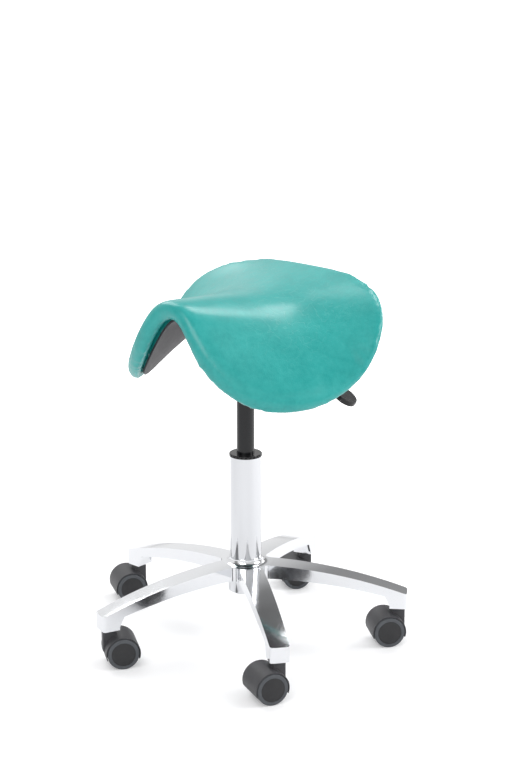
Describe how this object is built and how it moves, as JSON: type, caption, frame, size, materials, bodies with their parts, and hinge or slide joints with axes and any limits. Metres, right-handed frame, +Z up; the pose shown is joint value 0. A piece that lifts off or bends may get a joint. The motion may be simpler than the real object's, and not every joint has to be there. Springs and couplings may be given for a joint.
{
  "type": "saddle stool",
  "caption": "Saddle-shaped padded stool seat on a gas-lift column, over a star base with swivelling twin-wheel casters and a lever for the seat's height.",
  "frame": {"origin": "on the floor, on the column's axis", "axes": "+Z up, -Y towards the front of the seat, +X towards the sitter's left"},
  "size_m": [0.5246, 0.5122, 0.5934],
  "materials": {
    "polished_aluminium": "polished",
    "chrome": "polished",
    "black_plastic": "satin",
    "bearing_steel": "bright",
    "zinc_steel": "zinc plated",
    "black_rubber": "matte",
    "black_paint": "semi-gloss",
    "plywood": "raw",
    "pan_plastic": "fine grain",
    "foam": "open cell",
    "teal_vinyl": "soft sheen",
    "caster_plastic": "satin",
    "wheel_plastic": "satin",
    "grey_tread": "matte"
  },
  "bodies": {
    "base": {"star_base": "polished_aluminium", "column_tube": "chrome", "guide_sleeve": "black_plastic", "thrust_bearing": "bearing_steel", "caster_stems": "zinc_steel", "caster_grip_rings": "zinc_steel"},
    "rod": {"piston_rod": "chrome", "gas_piston": "black_plastic", "retaining_clip": "zinc_steel", "bearing_washer": "bearing_steel", "rubber_bumper": "black_rubber"},
    "seat": {"gas_cylinder": "black_paint", "rod_seal": "black_rubber", "seat_plate": "black_paint", "cone_socket": "black_paint", "lever_pin": "zinc_steel", "seat_core": "plywood", "seat_pan": "pan_plastic", "seat_foam": "foam", "seat_cover": "teal_vinyl", "tee_nuts": "zinc_steel", "seat_bolts": "zinc_steel"},
    "valve": {"release_pin": "bearing_steel"},
    "lever": {"height_lever": "black_paint", "lever_paddle": "black_plastic"},
    "caster_1": {"caster_1_hood": "caster_plastic", "caster_1_axle": "zinc_steel"},
    "caster_1_left": {"caster_1_left_wheel": "wheel_plastic", "caster_1_left_tread": "grey_tread"},
    "caster_1_right": {"caster_1_right_wheel": "wheel_plastic", "caster_1_right_tread": "grey_tread"},
    "caster_2": {"caster_2_hood": "caster_plastic", "caster_2_axle": "zinc_steel"},
    "caster_2_left": {"caster_2_left_wheel": "wheel_plastic", "caster_2_left_tread": "grey_tread"},
    "caster_2_right": {"caster_2_right_wheel": "wheel_plastic", "caster_2_right_tread": "grey_tread"},
    "caster_3": {"caster_3_hood": "caster_plastic", "caster_3_axle": "zinc_steel"},
    "caster_3_left": {"caster_3_left_wheel": "wheel_plastic", "caster_3_left_tread": "grey_tread"},
    "caster_3_right": {"caster_3_right_wheel": "wheel_plastic", "caster_3_right_tread": "grey_tread"},
    "caster_4": {"caster_4_hood": "caster_plastic", "caster_4_axle": "zinc_steel"},
    "caster_4_left": {"caster_4_left_wheel": "wheel_plastic", "caster_4_left_tread": "grey_tread"},
    "caster_4_right": {"caster_4_right_wheel": "wheel_plastic", "caster_4_right_tread": "grey_tread"},
    "caster_5": {"caster_5_hood": "caster_plastic", "caster_5_axle": "zinc_steel"},
    "caster_5_left": {"caster_5_left_wheel": "wheel_plastic", "caster_5_left_tread": "grey_tread"},
    "caster_5_right": {"caster_5_right_wheel": "wheel_plastic", "caster_5_right_tread": "grey_tread"}
  },
  "joints": [
    {"name": "seat_swivel", "type": "hinge", "parent": "base", "child": "rod", "pos_m": [0, 0, 0.083], "axis": [0, 0, 1], "continuous": true},
    {"name": "height_slide", "type": "slide", "parent": "rod", "child": "seat", "axis": [0, 0, 1], "range_m": [-0.09, 0.075]},
    {"name": "lever_hinge", "type": "hinge", "parent": "seat", "child": "lever", "pos_m": [0.0225, 0, 0.5118], "axis": [0, -1, 0], "range_deg": [0, 4], "stiffness_Nm_per_rad": 2, "springref_deg": -6.88},
    {"name": "valve_slide", "type": "slide", "parent": "seat", "child": "valve", "axis": [0, 0, -1], "range_m": [0, 0.002]},
    {"name": "caster_1_swivel", "type": "hinge", "parent": "base", "child": "caster_1", "pos_m": [0.19674, 0.14934, 0.05], "axis": [0, 0, 1], "continuous": true},
    {"name": "caster_1_left_spin", "type": "hinge", "parent": "caster_1", "child": "caster_1_left", "pos_m": [0.18488, 0.13324, 0.025], "axis": [0.8049, -0.5934, 0], "continuous": true},
    {"name": "caster_1_right_spin", "type": "hinge", "parent": "caster_1", "child": "caster_1_right", "pos_m": [0.18488, 0.13324, 0.025], "axis": [0.8049, -0.5934, 0], "continuous": true},
    {"name": "caster_2_swivel", "type": "hinge", "parent": "base", "child": "caster_2", "pos_m": [-0.08123, 0.23326, 0.05], "axis": [0, 0, 1], "continuous": true},
    {"name": "caster_2_left_spin", "type": "hinge", "parent": "caster_2", "child": "caster_2_left", "pos_m": [-0.09253, 0.21676, 0.025], "axis": [0.8251, -0.565, 0], "continuous": true},
    {"name": "caster_2_right_spin", "type": "hinge", "parent": "caster_2", "child": "caster_2_right", "pos_m": [-0.09253, 0.21676, 0.025], "axis": [0.8251, -0.565, 0], "continuous": true},
    {"name": "caster_3_swivel", "type": "hinge", "parent": "base", "child": "caster_3", "pos_m": [-0.24695, -0.00517, 0.05], "axis": [0, 0, 1], "continuous": true},
    {"name": "caster_3_left_spin", "type": "hinge", "parent": "caster_3", "child": "caster_3_left", "pos_m": [-0.25676, -0.0226, 0.025], "axis": [0.8712, -0.4909, 0], "continuous": true},
    {"name": "caster_3_right_spin", "type": "hinge", "parent": "caster_3", "child": "caster_3_right", "pos_m": [-0.25676, -0.0226, 0.025], "axis": [0.8712, -0.4909, 0], "continuous": true},
    {"name": "caster_4_swivel", "type": "hinge", "parent": "base", "child": "caster_4", "pos_m": [-0.07139, -0.23646, 0.05], "axis": [0, 0, 1], "continuous": true},
    {"name": "caster_4_left_spin", "type": "hinge", "parent": "caster_4", "child": "caster_4_left", "pos_m": [-0.06038, -0.21976, 0.025], "axis": [-0.8348, 0.5505, 0], "continuous": true},
    {"name": "caster_4_right_spin", "type": "hinge", "parent": "caster_4", "child": "caster_4_right", "pos_m": [-0.06038, -0.21976, 0.025], "axis": [-0.8348, 0.5505, 0], "continuous": true},
    {"name": "caster_5_swivel", "type": "hinge", "parent": "base", "child": "caster_5", "pos_m": [0.20282, -0.14097, 0.05], "axis": [0, 0, 1], "continuous": true},
    {"name": "caster_5_left_spin", "type": "hinge", "parent": "caster_5", "child": "caster_5_left", "pos_m": [0.19488, -0.15932, 0.025], "axis": [0.9178, -0.3971, 0], "continuous": true},
    {"name": "caster_5_right_spin", "type": "hinge", "parent": "caster_5", "child": "caster_5_right", "pos_m": [0.19488, -0.15932, 0.025], "axis": [0.9178, -0.3971, 0], "continuous": true}
  ],
  "couplings": [
    {"joint": "valve_slide", "follows": "lever_hinge", "m_per_rad": 0.0225}
  ]
}
